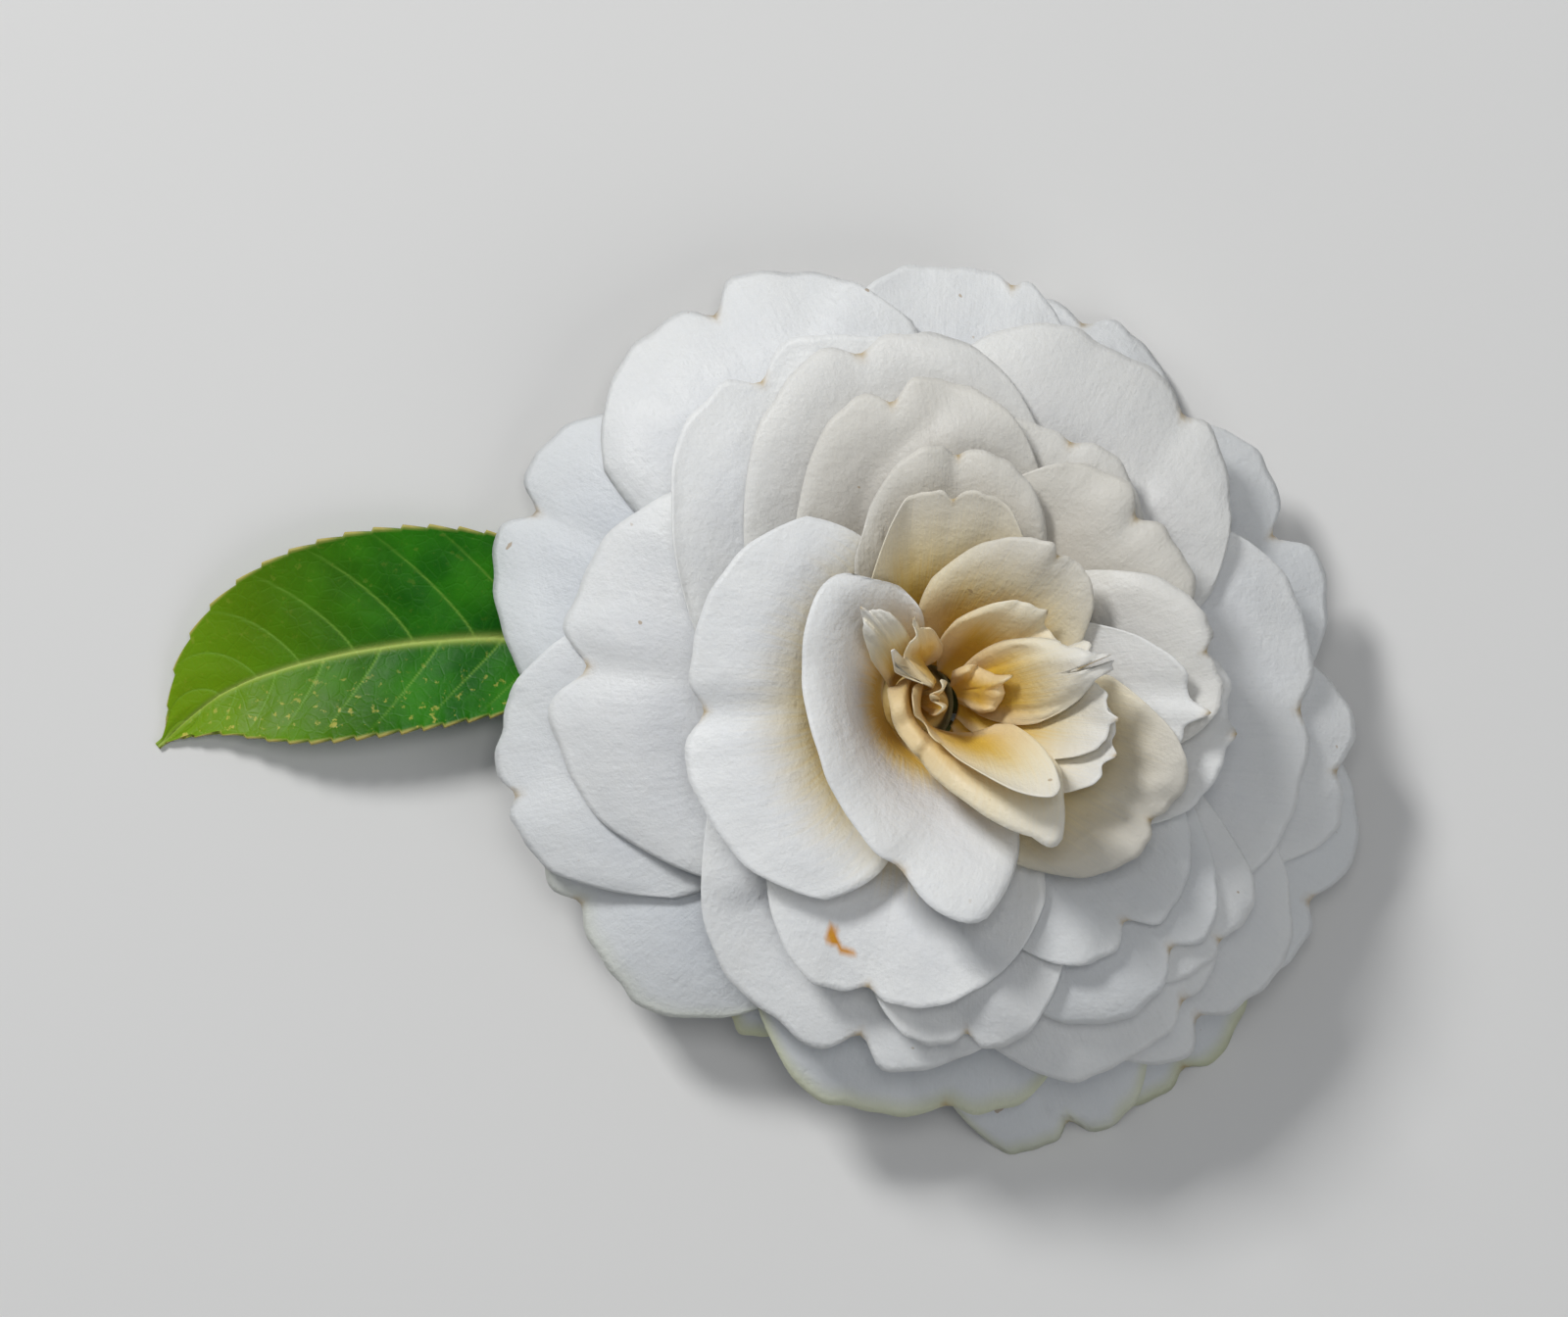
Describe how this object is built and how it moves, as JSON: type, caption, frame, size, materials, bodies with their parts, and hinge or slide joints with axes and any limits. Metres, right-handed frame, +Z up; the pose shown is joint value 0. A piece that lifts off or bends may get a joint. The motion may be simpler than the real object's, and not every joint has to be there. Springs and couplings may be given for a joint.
{
  "type": "camellia flower",
  "caption": "White camellia bloom as picked, lying face up, with a short stub of stem and a single toothed green leaf.",
  "frame": {"origin": "bottom centre of the bounding box, on the surface that the bloom lies on", "axes": "+Z up out of the surface and through the face of the bloom, +X from the leaf tip towards the bloom, +Y across"},
  "size_m": [0.1478, 0.1101, 0.0491],
  "materials": {
    "petal": "soft satin living petal, cool white with cream towards the centre",
    "receptacle": "matt yellow-green flower core",
    "sepal": "matt olive bract with brown edges",
    "bark": "matt brown young bark",
    "petiole": "satin green stalk",
    "leaf": "glossy leathery leaf"
  },
  "bodies": {
    "root": {"petal_outer_01": "petal", "petal_outer_02": "petal", "petal_outer_03": "petal", "petal_outer_04": "petal", "petal_outer_05": "petal", "petal_outer_06": "petal", "petal_outer_07": "petal", "petal_outer_08": "petal", "petal_outer_09": "petal", "petal_outer_10": "petal", "petal_outer_11": "petal", "petal_outer_12": "petal", "petal_outer_13": "petal", "petal_outer_14": "petal", "petal_middle_01": "petal", "petal_middle_02": "petal", "petal_middle_03": "petal", "petal_middle_04": "petal", "petal_middle_05": "petal", "petal_middle_06": "petal", "petal_middle_07": "petal", "petal_middle_08": "petal", "petal_middle_09": "petal", "petal_middle_10": "petal", "petal_middle_11": "petal", "petal_middle_12": "petal", "petal_middle_13": "petal", "petal_middle_14": "petal", "petal_middle_15": "petal", "petal_middle_16": "petal", "petal_middle_17": "petal", "petal_middle_18": "petal", "petal_middle_19": "petal", "petal_inner_01": "petal", "petal_inner_02": "petal", "petal_inner_03": "petal", "petal_inner_04": "petal", "petal_inner_05": "petal", "petal_inner_06": "petal", "petal_inner_07": "petal", "petal_inner_08": "petal", "petal_inner_09": "petal", "petal_inner_10": "petal", "petal_inner_11": "petal", "petal_inner_12": "petal", "petal_inner_13": "petal", "petal_inner_14": "petal", "petal_inner_15": "petal", "receptacle": "receptacle", "sepal_1": "sepal", "sepal_2": "sepal", "sepal_3": "sepal", "sepal_4": "sepal", "sepal_5": "sepal", "twig": "bark", "petiole": "petiole", "leaf": "leaf"}
  },
  "joints": []
}
